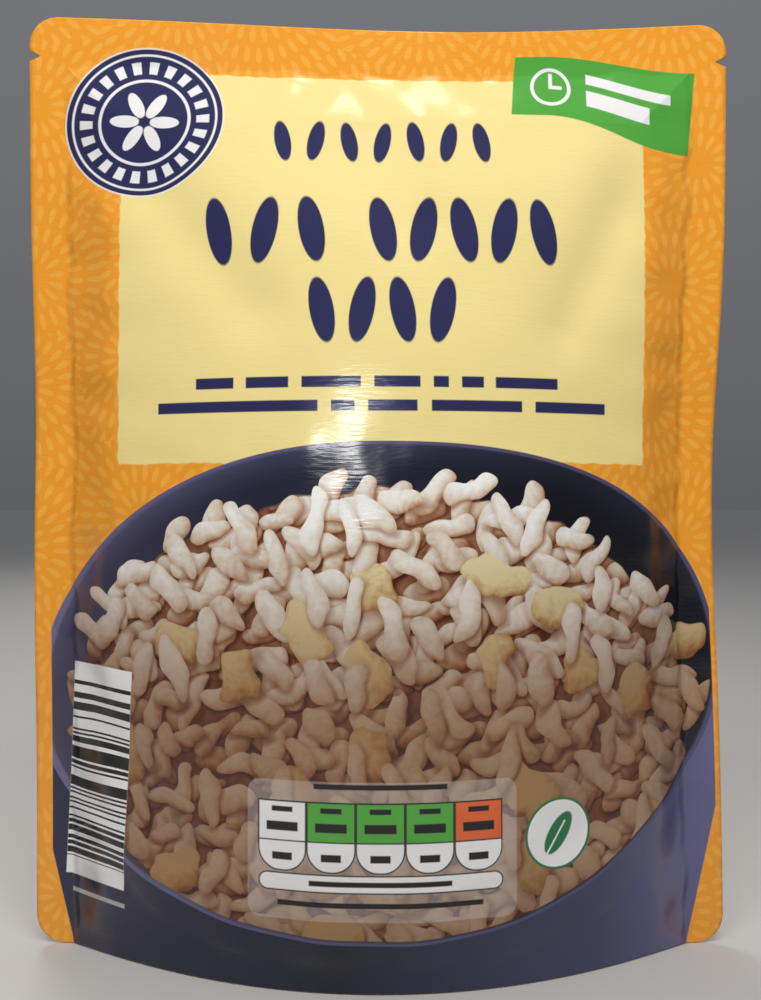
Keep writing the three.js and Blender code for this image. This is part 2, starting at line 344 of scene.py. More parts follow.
# %% Wires
class Wire:
    """One number that varies over the surface, in one node tree."""

    def __init__(self, tree, socket):
        self.tree, self.socket = tree, socket

    def sum(self, operation, *others):
        made = self.tree.nodes.new("ShaderNodeMath")
        made.operation = operation
        for slot, value in zip(made.inputs, (self, *others)):
            connect(self.tree, slot, value)
        return Wire(self.tree, made.outputs[0])

    __add__ = lambda a, b: a.sum("ADD", b)
    __radd__ = __add__
    __sub__ = lambda a, b: a.sum("SUBTRACT", b)
    __rsub__ = lambda a, b: (a * -1) + b
    __mul__ = lambda a, b: a.sum("MULTIPLY", b)
    __rmul__ = __mul__
    __truediv__ = lambda a, b: a.sum("DIVIDE", b)
    __pow__ = lambda a, b: a * a if b == 2 else a.sum("POWER", b)
    __abs__ = lambda a: a.sum("ABSOLUTE")

    def least(self, other):
        return self.sum("MINIMUM", other)

    def most(self, other):
        return self.sum("MAXIMUM", other)

    def root(self):
        return self.sum("SQRT")

    def ramp(self, start, end, low=0.0, high=1.0):
        """low before start, high after end, and a smooth step between them."""
        made = self.tree.nodes.new("ShaderNodeMapRange")
        made.interpolation_type = "SMOOTHSTEP"
        for slot, value in zip(made.inputs, (self, start, end, low, high)):
            connect(self.tree, slot, value)
        return Wire(self.tree, made.outputs[0])


def connect(tree, slot, value):
    if isinstance(value, Wire):
        value = value.socket
    if isinstance(value, bpy.types.NodeSocket):
        tree.links.new(value, slot)
    else:
        slot.default_value = value


def add_node(tree, kind, inputs=None, **settings):
    made = tree.nodes.new(kind)
    for name, value in settings.items():
        setattr(made, name, value)
    for name, value in (inputs or {}).items():
        connect(tree, made.inputs[name], value)
    return made


# %% A place on the flat film
class Film:
    """A place on the flat film, as two wires in mm: across from the centre line, up from the lower edge."""

    def __init__(self, across, up):
        self.across, self.up, self.tree = across, up, across.tree

    def vector(self, scale=1.0):
        inputs = {0: self.across * scale, 1: self.up * scale}
        return add_node(self.tree, "ShaderNodeCombineXYZ", inputs).outputs[0]

    def noise(self, scale, detail=0.0):
        inputs = {"Vector": self.vector(scale), "Scale": 1.0, "Detail": detail}
        made = add_node(self.tree, "ShaderNodeTexNoise", inputs, noise_dimensions="2D")
        return Wire(self.tree, made.outputs["Fac"])

    def moved(self, across=0.0, up=0.0):
        return Film(self.across + across, self.up + up)

    def turned(self, angle):
        """The same place seen from axes turned by angle."""
        if isinstance(angle, Wire):
            cosine, sine = angle.sum("COSINE"), angle.sum("SINE")
        else:
            cosine, sine = math.cos(angle), math.sin(angle)
        return Film(self.across * cosine + self.up * sine, self.up * cosine - self.across * sine)


# %% Colours
def mixed(tree, share, below, above, blend="MIX"):
    made = add_node(tree, "ShaderNodeMix", data_type="RGBA", blend_type=blend, clamp_factor=True)
    connect(tree, made.inputs["Factor"], share)
    connect(tree, made.inputs[6], below)
    connect(tree, made.inputs[7], above)
    return made.outputs[2]


def ink(red, green, blue):
    """A printed colour, given from 0 to 255 as a screen shows it."""
    linear = [((c / 255 + 0.055) / 1.055) ** 2.4 if c > 10 else c / 255 / 12.92 for c in (red, green, blue)]
    return (*linear, 1.0)


def ramp_of(tree, value, stops, interpolation="LINEAR"):
    """A Color Ramp: stops are pairs of a place from 0 to 1 and a colour."""
    made = add_node(tree, "ShaderNodeValToRGB", {"Fac": value})
    made.color_ramp.interpolation = interpolation
    marks = made.color_ramp.elements
    while len(marks) < len(stops):
        marks.new(0.5)
    for mark, (position, colour) in zip(marks, stops):
        mark.position, mark.color = position, colour
    return made.outputs["Color"]


# %% [markdown]
# ## Groups that several finishes share
# A group is built once, with named inputs and outputs, and placed wherever it is needed with its own
# values.


# %% Making and placing groups
def new_group(name, inputs, outputs):
    """An empty node group. inputs gives each name its default, outputs each name its kind of socket."""
    group = bpy.data.node_groups.new(name, "ShaderNodeTree")
    for label, default in inputs.items():
        socket = group.interface.new_socket(label, in_out="INPUT", socket_type="NodeSocketFloat")
        socket.default_value = default
    for label, kind in outputs.items():
        group.interface.new_socket(label, in_out="OUTPUT", socket_type="NodeSocket" + kind)
    start = group.nodes.new("NodeGroupInput")
    end = group.nodes.new("NodeGroupOutput")
    given = {s.name: Wire(group, s) for s in start.outputs if s.name}
    return group, given, end


def use_group(group, film, **inputs):
    """Places a group at a place on the film. An input's name is written with _ for a space."""
    made = film.tree.nodes.new("ShaderNodeGroup")
    made.node_tree = group
    for label, value in dict(inputs, across=film.across, up=film.up).items():
        connect(film.tree, made.inputs[label.replace("_", " ").capitalize()], value)
    return {o.name: Wire(film.tree, o) if o.type == "VALUE" else o for o in made.outputs}


# %% Printed box and printed disc
EDGE = 0.13
PLACE = {"Across": 0, "Up": 0}
MARK = dict(PLACE, **{"Centre across": 0, "Centre up": 0, "Half across": 1, "Half up": 1, "Turn": 0})


def seen_from_mark(given):
    """The place on the film as a mark sees it: its own centre at the origin and its turn undone."""
    film = Film(given["Across"] - given["Centre across"], given["Up"] - given["Centre up"])
    return film.turned(given["Turn"])


def make_box_group():
    """How far a place is outside a rectangle with round corners, in mm. It is negative inside."""
    group, given, end = new_group("Printed box", dict(MARK, Radius=0), {"Distance": "Float"})
    film = seen_from_mark(given)
    across = abs(film.across) - (given["Half across"] - given["Radius"])
    up = abs(film.up) - (given["Half up"] - given["Radius"])
    corner = (across.most(0) ** 2 + up.most(0) ** 2).root()
    connect(group, end.inputs["Distance"], corner + across.most(up).least(0) - given["Radius"])
    return group


def make_disc_group():
    """An ellipse. Mask is 1 inside, and Reach runs from 0 at the centre through 1 on the edge."""
    group, given, end = new_group("Printed disc", MARK, {"Mask": "Float", "Reach": "Float"})
    film = seen_from_mark(given)
    reach = ((film.across / given["Half across"]) ** 2 + (film.up / given["Half up"]) ** 2).root()
    distance = (reach - 1) * given["Half across"].least(given["Half up"])
    connect(group, end.inputs["Mask"], distance.ramp(-EDGE, EDGE, 1.0, 0.0))
    connect(group, end.inputs["Reach"], reach)
    return group


BOX = make_box_group()
DISC = make_disc_group()


def box(film, centre, half, radius=0.0, turn=0.0):
    sizes = dict(half_across=half[0], half_up=half[1], radius=radius, turn=turn)
    return use_group(BOX, film, centre_across=centre[0], centre_up=centre[1], **sizes)["Distance"]


def disc(film, centre, half, turn=0.0):
    sizes = dict(half_across=half[0], half_up=half[1], turn=turn)
    return use_group(DISC, film, centre_across=centre[0], centre_up=centre[1], **sizes)


def within(distance, inset=0.0):
    """1 where a distance is less than 0, or less than minus the inset, with a soft edge."""
    return distance.ramp(-EDGE - inset, EDGE - inset, 1.0, 0.0)


def sharp_box(film, centre, half):
    """The distance from a level rectangle with sharp corners."""
    across = abs(film.across - centre[0]) - half[0]
    return across.most(abs(film.up - centre[1]) - half[1])


def bar(film, start, end, height, half):
    """A level bar with square ends."""
    return within(sharp_box(film, ((start + end) / 2, height), ((end - start) / 2, half)))


def band(wire, start, end):
    """1 between start and end."""
    return within(abs(wire - (start + end) / 2) - (end - start) / 2)


def union(masks):
    """One mask for all the marks that share an ink."""
    whole, *others = masks
    for mask in others:
        whole = whole.most(mask)
    return whole


# %% [markdown]
# ## The rice-stroke pattern
# The orange ground is printed with paler strokes in the shape of grains, set in rings like the petals of
# a flower. One Voronoi cell is one flower. Inside it the distance from the centre picks the ring, the
# angle picks the petal, and an ellipse in those two measures draws the stroke.

# %% Flowers of strokes
FLOWER_SIZE = 27
FLOWER_SCATTER = 0.55
RING_STEP, RING_START, RING_TURN = 4.3, 0.35, 0.37
STROKE_STEP = 2.7
STROKE_HALF = (1.75, 0.72)
STROKE_INK = 0.48


def cells_of(film, size, randomness):
    """Voronoi cells of a given size. Returns the place as seen from its cell's point, in mm."""
    grid = Film(film.across / size, film.up / size)
    inputs = {"Vector": grid.vector(), "Scale": 1.0, "Randomness": randomness}
    cell = add_node(film.tree, "ShaderNodeTexVoronoi", inputs, voronoi_dimensions="2D")
    point = add_node(film.tree, "ShaderNodeSeparateXYZ", {0: cell.outputs["Position"]}).outputs
    across = (grid.across - Wire(film.tree, point[0])) * size
    up = (grid.up - Wire(film.tree, point[1])) * size
    return Film(across, up)


def make_flower_group():
    """One flower a cell, with more strokes in each ring further out."""
    group, given, end = new_group("Flowers of strokes", PLACE, {"Mask": "Float"})
    flower = cells_of(Film(given["Across"], given["Up"]), FLOWER_SIZE, FLOWER_SCATTER)
    distance = (flower.across**2 + flower.up**2).root() / RING_STEP + RING_START
    ring = distance.sum("FLOOR")
    petals = (ring * (2 * math.pi * RING_STEP / STROKE_STEP) + 4).sum("ROUND")
    turn = flower.up.sum("ARCTAN2", flower.across) / (2 * math.pi) + ring * RING_TURN
    out = (distance - ring - 0.5) * RING_STEP
    aside = ((turn * petals).sum("FRACT") - 0.5) * STROKE_STEP
    size = (out / STROKE_HALF[0]) ** 2 + (aside / STROKE_HALF[1]) ** 2
    connect(group, end.inputs["Mask"], size.ramp(0.6, 1.2, 1.0, 0.0) * ring.least(1))
    return group


FLOWERS = make_flower_group()

# %% [markdown]
# ## Printed rice
# The picture on the front is a heap of long grains, drawn in layers. A layer is a grid whose rows are
# shifted by chance, and each cell holds one grain, turned, bent and sized by the cell's own dice. Its
# upper left side is light, and its lower right side throws a warm shadow on the layers under it. A few
# such layers at different angles cover the heap. A grain belongs to the heap as a whole or not at all, by
# where its cell's middle lies, so that whole grains stick out at the heap's edge.

# %% One layer of grains
LIGHT_ANGLE = 2.1
LIGHT_LEVEL = 0.72
END_SLOPE = 0.45
GRAIN_BEND = 0.03
GRAIN_JITTER = 0.3
GRAIN_ROOM = 1.12
SHORTEST = 0.65
SEED_STEP = 13
HEAP_CENTRE, HEAP_HALF = (1.4, 50), (67.5, 47.5)
LAYER = {"Turn": 0, "Seed": 0, "Length": 7, "Width": 2.2, "Row": 8, "Swing": 0.5, "Present": 1}


def white_noise(tree, dimensions, **inputs):
    return add_node(tree, "ShaderNodeTexWhiteNoise", inputs, noise_dimensions=dimensions)


def grain_cell(film, given):
    """The place as seen from the middle of its own cell, and the cell's three dice."""
    column_step = given["Length"] * (2 * GRAIN_ROOM)
    up = film.up / given["Row"] + given["Seed"]
    row = up.sum("FLOOR")
    shift = white_noise(film.tree, "1D", W=row + given["Seed"] * SEED_STEP).outputs["Value"]
    across = film.across / column_step + Wire(film.tree, shift)
    numbers = {0: across.sum("FLOOR"), 1: row, 2: given["Seed"]}
    address = add_node(film.tree, "ShaderNodeCombineXYZ", numbers).outputs[0]
    colour = white_noise(film.tree, "3D", Vector=address).outputs["Color"]
    dice = add_node(film.tree, "ShaderNodeSeparateColor", {0: colour}).outputs
    cell = Film((across.sum("FRACT") - 0.5) * column_step, (up.sum("FRACT") - 0.5) * given["Row"])
    return cell, [Wire(film.tree, output) for output in dice]


def heap_reach(film):
    """0 in the middle of the heap and 1 on its edge, squared."""
    across = (film.across - HEAP_CENTRE[0]) / HEAP_HALF[0]
    return across**2 + ((film.up - HEAP_CENTRE[1]) / HEAP_HALF[1]) ** 2


def make_grain_group():
    """One grain a cell. Size is 1 on its outline, and Light is how far its rounded face turns to the lamp."""
    results = dict.fromkeys(("Size", "Side", "Light", "Dice", "There"), "Float")
    group, given, end = new_group("Grain layer", dict(PLACE, **LAYER), results)
    film = Film(given["Across"], given["Up"])
    cell, (swing_dice, lean_dice, length_dice) = grain_cell(film.turned(given["Turn"]), given)
    lean = lean_dice - 0.5
    swing = (swing_dice - 0.5) * given["Swing"]
    grain = cell.moved(lean * given["Length"] * GRAIN_JITTER).turned(swing)
    along = grain.across / (given["Length"] * (length_dice * (1 - SHORTEST) + SHORTEST))
    aside = (grain.up + lean * grain.across * grain.across * GRAIN_BEND) / given["Width"]
    size = abs(along) * along * along + aside * aside
    lamp = LIGHT_ANGLE - given["Turn"] - swing
    side = along * END_SLOPE * lamp.sum("COSINE") + aside * lamp.sum("SINE")
    dome = (1 - size.least(1)).root()
    to_cell = cell.turned(given["Turn"] * -1)
    middle = Film(film.across - to_cell.across, film.up - to_cell.up)
    there = heap_reach(middle).sum("LESS_THAN", 1) * lean_dice.sum("LESS_THAN", given["Present"])
    light = side * (1 - LIGHT_LEVEL**2) ** 0.5 + dome * LIGHT_LEVEL
    for name, wire in zip(results, (size, side, light, length_dice, there)):
        connect(group, end.inputs[name], wire)
    return group


GRAINS = make_grain_group()

# %% The layers of the heap, and the egg between them
# A layer's numbers: turn in radians, seed, half length and half width in mm, row height, swing, share, light.
BURIED_LAYER = (0.40, 4.9, 5.8, 2.0, 4.6, 0.3, 1.0, 0.04)
GRAIN_LAYERS = [
    (1.10, 5.9, 5.9, 1.95, 6.0, 0.5, 1.0, 0.22),
    (0.15, 9.2, 5.7, 2.0, 6.4, 0.6, 0.85, 0.27),
    (2.30, 2.4, 6.1, 2.05, 6.6, 0.7, 0.75, 0.31),
    (1.60, 6.1, 6.6, 1.95, 7.2, 0.8, 0.45, 0.34),
]
EGG_LAYER = (0.6, 4.3, 6.8, 3.9, 12.4, 3.0, 0.34, 0.14)
EGG_AFTER_LAYER = 2
HEAP_CORE, CORE_SOFT = 0.9, 0.02
RICE_GAP = ink(124, 78, 52)
RICE_SHADOW = ink(176, 128, 98)
RICE_TONES = [
    (0.0, ink(150, 100, 70)), (0.3, ink(198, 160, 128)), (0.54, ink(222, 204, 182)),
    (0.8, ink(240, 235, 224)), (1.0, ink(253, 253, 249)),
]
EGG_TONES = [(0.1, ink(178, 132, 84)), (0.45, ink(220, 192, 134)), (0.8, ink(240, 226, 180))]
RICE_CONTRAST, EGG_CONTRAST = 0.52, 0.7
DICE_TONE, SPECKLE_TONE = 0.24, 0.36
EGG_SPECKLE = 1.6
GRAIN_EDGE = (0.92, 1.06, 1.0, 0.0)
SHADOW_OUT, SHADOW_SIDE = (0.9, 2.4, 0.9, 0.0), (-0.9, 0.5, 1.0, 0.1)
WARP, WARP_FINENESS, WARP_APART = 2.5, 0.19, (61, 17)
LUMPS, LUMP_FINENESS = 3.6, 0.22
SPECKLE_FINENESS = 0.7
CLUSTERS, CLUSTER_FINENESS = 0.8, 0.055


def lay_grains(film, speckle, colour, layer, tones=RICE_TONES, contrast=RICE_CONTRAST, share=None):
    """Lays a layer of grains and their shadows over a colour. Hands back the colour and the grains' mask."""
    *sizes, light = layer
    grain = use_group(GRAINS, film, **dict(zip(map(str.lower, LAYER), sizes)))
    there = grain["There"] if share is None else share
    shade = grain["Size"].ramp(*SHADOW_OUT) * grain["Side"].ramp(*SHADOW_SIDE)
    colour = mixed(film.tree, shade * there, colour, RICE_SHADOW, "MULTIPLY")
    body = grain["Size"].ramp(*GRAIN_EDGE) * there
    tone = grain["Light"] * contrast + (grain["Dice"] * DICE_TONE + speckle * SPECKLE_TONE + light)
    return mixed(film.tree, body, colour, ramp_of(film.tree, tone, tones)), body


def lay_egg(film, speckle, colour):
    """Pieces of egg: larger than grains, yellow, and with lumpy outlines."""
    lumpy = film.moved((film.noise(LUMP_FINENESS) - 0.5) * LUMPS)
    return lay_grains(lumpy, speckle * EGG_SPECKLE, colour, EGG_LAYER, EGG_TONES, EGG_CONTRAST)


def warped(film):
    """The place, shifted a little by noise, so that no grain has an even outline."""
    other = film.moved(*WARP_APART)
    return film.moved((film.noise(WARP_FINENESS) - 0.5) * WARP, (other.noise(WARP_FINENESS) - 0.5) * WARP)


def make_rice_group():
    """The heap: buried grains within its core, then layers of whole grains, with egg between two of them."""
    group, given, end = new_group("Printed rice", PLACE, {"Color": "Color", "Cover": "Float"})
    film = warped(Film(given["Across"], given["Up"]))
    clusters = (film.noise(CLUSTER_FINENESS) - 0.5) * CLUSTERS
    speckle = film.noise(SPECKLE_FINENESS, detail=1.0) - 0.5 + clusters
    cover = heap_reach(film).ramp(HEAP_CORE, HEAP_CORE + CORE_SOFT, 1.0, 0.0)
    colour = mixed(group, speckle + 0.5, RICE_GAP, RICE_SHADOW)
    colour, _ = lay_grains(film, speckle, colour, BURIED_LAYER, share=cover)
    for number, layer in enumerate(GRAIN_LAYERS):
        colour, body = lay_grains(film, speckle, colour, layer)
        cover = cover.most(body)
        if number == EGG_AFTER_LAYER:
            colour, body = lay_egg(film, speckle, colour)
            cover = cover.most(body)
    connect(group, end.inputs["Color"], colour)
    connect(group, end.inputs["Cover"], cover)
    return group


RICE = make_rice_group()

# %% [markdown]
# ## The film's gloss
# All three films share one surface: clear film over ink. It is glossy, a little uneven at the scale of
# the rice that presses on it, and has fine drawn-out streaks.


# %% Film relief
WAVES, WAVE_FINENESS = 1.2, 0.035
RICE_BUMPS, BARE_BUMPS, BUMP_FINENESS = 0.35, 0.06, 0.13
FILLED_FROM, FILLED_TO = 96, 122
STREAKS, STREAK_ACROSS, STREAK_UP = 0.03, 0.3, 1.5
WELD_WAVE = 2.4
WELD_RAMP, WELD_STEP = 1.8, 0.45
FLANK, FLANK_RISE = 11, 2.2


def make_relief_group():
    """The film's relief in mm: waves, rice that shows through, streaks, and the step up from the welds."""
    group, given, end = new_group("Film relief", PLACE, {"Height": "Float"})
    film = Film(given["Across"], given["Up"])
    waves = film.noise(WAVE_FINENESS)
    rice = film.noise(BUMP_FINENESS)
    streaks = Film(film.across * STREAK_ACROSS, film.up * STREAK_UP).noise(1.0, detail=1.0)
    inset = (BODY_HALF - abs(film.across)).least(BODY_TOP + 0.5 - film.up) + (rice - 0.5) * WELD_WAVE
    weld = inset.ramp(-0.3, WELD_RAMP, 0.0, WELD_STEP) + inset.ramp(0.0, FLANK, 0.0, FLANK_RISE)
    filled = film.up.ramp(FILLED_FROM, FILLED_TO, RICE_BUMPS, BARE_BUMPS)
    connect(group, end.inputs["Height"], waves * WAVES + rice * filled + streaks * STREAKS + weld)
    return group


RELIEF = make_relief_group()

# %% Film material
FILM_IOR = 1.5
FILM_ROUGHNESS = 0.18


def film_material(name):
    """A material with the film's gloss, and the place on the flat film in millimetres for its print."""
    material = bpy.data.materials.new(name)
    material.use_nodes = True
    tree = material.node_tree
    shader = tree.nodes["Principled BSDF"]
    shader.inputs["IOR"].default_value = FILM_IOR
    shader.inputs["Roughness"].default_value = FILM_ROUGHNESS
    flat = add_node(tree, "ShaderNodeUVMap", uv_map="UVMap").outputs[0]
    parts = add_node(tree, "ShaderNodeSeparateXYZ", {0: flat}).outputs
    film = Film((Wire(tree, parts[0]) - 0.5) * WIDTH, Wire(tree, parts[1]) * HEIGHT)
    relief = use_group(RELIEF, film)
    bump = add_node(tree, "ShaderNodeBump", {"Height": relief["Height"], "Strength": 1.0, "Distance": MM})
    connect(tree, shader.inputs["Normal"], bump.outputs[0])
    return material, shader, film


# %% [markdown]
# ## The print, field by field
# Each function below lays one printed thing over what is under it and hands the colour on, as a printer
# lays inks.

# %% Inks
ORANGE = ink(248, 164, 48)
ORANGE_PALE = ink(255, 190, 84)
YELLOW = ink(247, 228, 152)
NAVY = ink(44, 46, 88)
WHITE = ink(240, 240, 240)
GREEN = ink(84, 170, 66)
LEAF_GREEN = ink(30, 118, 74)
BLACK = ink(24, 24, 26)
SALT_RED = ink(226, 104, 56)


def over(film, colour, share, above):
    return mixed(film.tree, share, colour, above)


# %% Ground and panel
PANEL_CENTRE, PANEL_HALF = (0.8, 141.8), (54.9, 41.3)
PANEL_WOBBLE, WOBBLE_FINENESS = 0.9, 0.28


def print_ground(film):
    strokes = use_group(FLOWERS, film)["Mask"]
    return mixed(film.tree, strokes * STROKE_INK, ORANGE, ORANGE_PALE)


def print_panel(film, colour):
    """The pale panel, with an edge like torn paper."""
    wobble = (film.noise(WOBBLE_FINENESS, detail=3.0) - 0.5) * PANEL_WOBBLE
    panel_box = sharp_box(film.moved(wobble, wobble), PANEL_CENTRE, PANEL_HALF)
    return over(film, colour, within(panel_box), YELLOW)


# %% The bowl
BOWL_CENTRE = (0.4, 57.4)
BOWL_HALF = (72.5, 47.2)
BOWL_POWER = 2.2
BOWL_TAPER = 0.0022
BOWL_LIFT = 0.0017
BOWL_FOOT_HALF = 65.3
BOWL_WALL_SLOPE = 0.235
BLEED = (-69.9, 72.1)
RIM_FROM, RIM_SOFT, RIM_INK = 0.982, 0.008, 0.45
MOUTH_SOFT = 0.002
BOWL_INSIDE = [(0.0, ink(112, 106, 140)), (0.35, ink(66, 68, 96)), (0.75, ink(32, 33, 46))]
BOWL_OUTSIDE = [
    (0.0, ink(46, 48, 74)), (0.45, ink(26, 28, 48)), (0.8, ink(66, 68, 102)), (1.0, ink(108, 106, 150)),
]
BOWL_RIM = ink(112, 108, 156)


def bowl_reach(film):
    """0 in the middle of the bowl's mouth and 1 on its rim: a full oval that lies higher at its right end."""
    up = film.up - BOWL_CENTRE[1] - film.across.most(0) ** 2 * BOWL_LIFT
    across = (film.across - BOWL_CENTRE[0]) / (1 - up * BOWL_TAPER)
    across_share, up_share = abs(across / BOWL_HALF[0]), abs(up / BOWL_HALF[1])
    return (across_share**BOWL_POWER + up_share**BOWL_POWER) ** (1 / BOWL_POWER)


def print_bowl(film, colour):
    """The bowl, seen from above, and the rice in it."""
    bleed = band(film.across, *BLEED)
    wall = within(abs(film.across) - film.up * BOWL_WALL_SLOPE - BOWL_FOOT_HALF)
    wall = wall * film.up.sum("LESS_THAN", BOWL_CENTRE[1])
    reach = bowl_reach(film)
    mouth = reach.ramp(1 - MOUTH_SOFT, 1 + MOUTH_SOFT, 1.0, 0.0)
    to_right = film.across / WIDTH + 0.5
    inside_ink = ramp_of(film.tree, to_right, BOWL_INSIDE)
    inside_ink = mixed(film.tree, reach.ramp(RIM_FROM, RIM_FROM + RIM_SOFT) * RIM_INK, inside_ink, BOWL_RIM)
    bowl = mixed(film.tree, mouth, ramp_of(film.tree, to_right, BOWL_OUTSIDE), inside_ink)
    colour = over(film, colour, wall.most(mouth) * bleed, bowl)
    return print_rice(film, colour, reach.ramp(RIM_FROM - RIM_SOFT, RIM_FROM, 1.0, 0.0) * bleed)


# %% Rice in the bowl
# Painted shade: the rice is multiplied darker towards the heap's foot. This is partly the picture's own
# shading and partly the pouch's light falling off towards the bottom.
PAINTED_SHADE_FROM, PAINTED_SHADE_TO = 94, 50
PAINTED_SHADE_INK = ink(172, 142, 118)
HEAP_SHADE = ink(70, 66, 90)
SHADE_FROM, SHADE_TO, SHADE_INK = 1.02, 1.2, 0.7


def print_rice(film, colour, hollow):
    """The heap, with painted shade towards its foot, and its shade on the inside of the bowl."""
    rice = use_group(RICE, film)
    shade = disc(film, HEAP_CENTRE, HEAP_HALF)["Reach"].ramp(SHADE_FROM, SHADE_TO, SHADE_INK, 0.0)
    colour = mixed(film.tree, shade * hollow, colour, HEAP_SHADE, "MULTIPLY")
    # Painted shade: darker towards the foot of the heap, standing in for the light falling off down the
    # pouch.
    painted_shade = film.up.ramp(PAINTED_SHADE_TO, PAINTED_SHADE_FROM, 1.0, 0.0)
    picture = mixed(film.tree, painted_shade, rice["Color"], PAINTED_SHADE_INK, "MULTIPLY")
    return over(film, colour, rice["Cover"] * hollow, picture)


# %% [markdown]
# ## Rows of grains and bars
# The panel is filled with rows of upright grains and thin bars, with the weight that a pack's front
# usually has there. One grain is drawn and repeated along its row, because the fraction of a sum jumps
# back to 0 at every step.

# %% Title grains and small bars
TITLE_ROWS = [  # first and last grain's centre, height of the row's middle, count, half height of a grain
    (-20.2, 21.0, 168.2, 7, 4.7),
    (-32.9, -13.9, 148.1, 3, 7.2),
    (0.5, 33.4, 148.1, 5, 7.2),
    (-11.6, 12.4, 130.8, 4, 6.8),
]
GRAIN_SLENDER = 0.36
GRAIN_TILT = 0.16
SMALL_LINES = [  # height of the line, and the ends of its bars
    (116.2, [(-36.8, -29.0), (-26.5, -18.0), (-15.4, -3.8), (-1.2, 7.8), (10.4, 13.4), (16.0, 20.4),
             (22.8, 35.8)]),
    (111.5, [(-44.9, -12.2), (-9.6, -5.0), (-2.4, 7.2), (10.0, 28.2), (31.0, 46.4)]),
]
SMALL_HALF = 1.1


def title_row(film, first, last, height, count, half):
    """A row of upright grains that lean to and fro."""
    pitch = (last - first) / (count - 1)
    number = (film.across - (first - pitch / 2)) / pitch
    lean = ((number.sum("FLOOR") + 0.5) * math.pi).sum("SINE") * GRAIN_TILT
    up = film.up - height
    across = (number.sum("FRACT") - 0.5) * pitch + up * lean
    grain = disc(Film(across, up), (0, 0), (half * GRAIN_SLENDER, half))["Mask"]
    return grain * band(film.across, first - pitch / 2, last + pitch / 2)


def print_title(film, colour):
    marks = [title_row(film, *row) for row in TITLE_ROWS]
    for height, bars in SMALL_LINES:
        line = union(band(film.across, *ends) for ends in bars)
        marks.append(line * band(film.up, height - SMALL_HALF, height + SMALL_HALF))
    return over(film, colour, union(marks), NAVY)


# %% Badge
BADGE_CENTRE, BADGE_HALF, BADGE_TURN = (-49.2, 172.4), (16.7, 15.3), 0.45
BADGE_RINGS = [(0.905, 0.935), (0.555, 0.595)]
RING_SOFT = 0.008
BADGE_BORDER = 1.022
RING_MIDDLE, RING_STRETCH = 0.75, 3.2
RING_GRAINS, RING_GRAIN_SHARE = 22, 0.26
BADGE_PETALS = 6
PETAL_MIDDLE, PETAL_HALF = 0.26, (0.19, 0.085)


def badge_ring(reach, low, high):
    outer = reach.ramp(high - RING_SOFT, high + RING_SOFT, 1.0, 0.0)
    return reach.ramp(low - RING_SOFT, low + RING_SOFT) * outer


def badge_grains(reach, turn):
    """A ring of upright grains, and a flower of larger ones in the middle."""
    beside = abs((turn * RING_GRAINS).sum("FRACT") - 0.5)
    grains = beside.most(abs(reach - RING_MIDDLE) * RING_STRETCH) - RING_GRAIN_SHARE
    aside = ((turn * BADGE_PETALS).sum("FRACT") - 0.5) * (2 * math.pi / BADGE_PETALS) * reach
    petals = ((reach - PETAL_MIDDLE) / PETAL_HALF[0]) ** 2 + (aside / PETAL_HALF[1]) ** 2
    return [grains.ramp(-0.03, 0.03, 1.0, 0.0), petals.ramp(0.85, 1.1, 1.0, 0.0)]


def print_badge(film, colour):
    """A navy oval with a white border, two pale rings, and grains between and inside them."""
    oval = film.moved(-BADGE_CENTRE[0], -BADGE_CENTRE[1]).turned(BADGE_TURN)
    oval = Film(oval.across / BADGE_HALF[0], oval.up / BADGE_HALF[1])
    reach = (oval.across**2 + oval.up**2).root()
    turn = oval.up.sum("ARCTAN2", oval.across) / (2 * math.pi)
    colour = over(film, colour, reach.ramp(BADGE_BORDER - 0.007, BADGE_BORDER + 0.008, 0.8, 0.0), WHITE)
    colour = over(film, colour, reach.ramp(0.995, 1.005, 1.0, 0.0), NAVY)
    rings = [badge_ring(reach, *ends) for ends in BADGE_RINGS]
    return over(film, colour, union(rings + badge_grains(reach, turn)), WHITE)


# %% Ribbon
RIBBON_ENDS = (28, 66.4)
RIBBON_TOP, TOP_DROP = 188.4, 4.6
RIBBON_BOTTOM, BOTTOM_DROP = 175.0, 9.0
RIBBON_SLANT, SLANT_ABOUT = 0.08, 181
FLAT_PART = 6
MARKS_DROP = 7.0
CLOCK_CENTRE, CLOCK_RADIUS = (36.0, 181.6), 4.3
CLOCK_HANDS = [(35.6, 36.4, 183.0, 1.7), (35.6, 38.4, 181.6, 0.4)]
RIBBON_BARS = [(43.5, 61.5, 184.6, 1.1), (43.5, 57.0, 180.2, 1.8)]


def print_ribbon(film, colour):
    """A green flag that hangs lower and wider to its right, with a plain clock face and two bars."""
    fall = film.across.ramp(RIBBON_ENDS[0] + FLAT_PART, RIBBON_ENDS[1])
    top = film.up + fall * TOP_DROP - RIBBON_TOP
    bottom = film.up + fall * BOTTOM_DROP - RIBBON_BOTTOM
    ends = band(film.across - (film.up - SLANT_ABOUT) * RIBBON_SLANT, *RIBBON_ENDS)
    colour = over(film, colour, ends * within(top) * bottom.ramp(-EDGE, EDGE), GREEN)
    wavy = film.moved(up=fall * MARKS_DROP)
    dial = disc(wavy, CLOCK_CENTRE, (CLOCK_RADIUS, CLOCK_RADIUS))["Reach"]
    ring = dial.ramp(0.80, 0.84) * dial.ramp(0.98, 1.02, 1.0, 0.0)
    bars = [bar(wavy, *sizes) for sizes in CLOCK_HANDS + RIBBON_BARS]
    return over(film, colour, union([ring, *bars]), WHITE)


# %% Stripe label
LABEL_CENTRE, LABEL_HALF, LABEL_TURN = (-58.7, 36.8), (7.2, 22.4), -0.05
STRIPE_STEP, STRIPE_SHARE = 0.42, 0.54
STRIPES_HALF = 18.7
UNDER_LABEL, UNDER_LABEL_INK = (-5.5, 7.5, -25.6, 0.45), 0.5


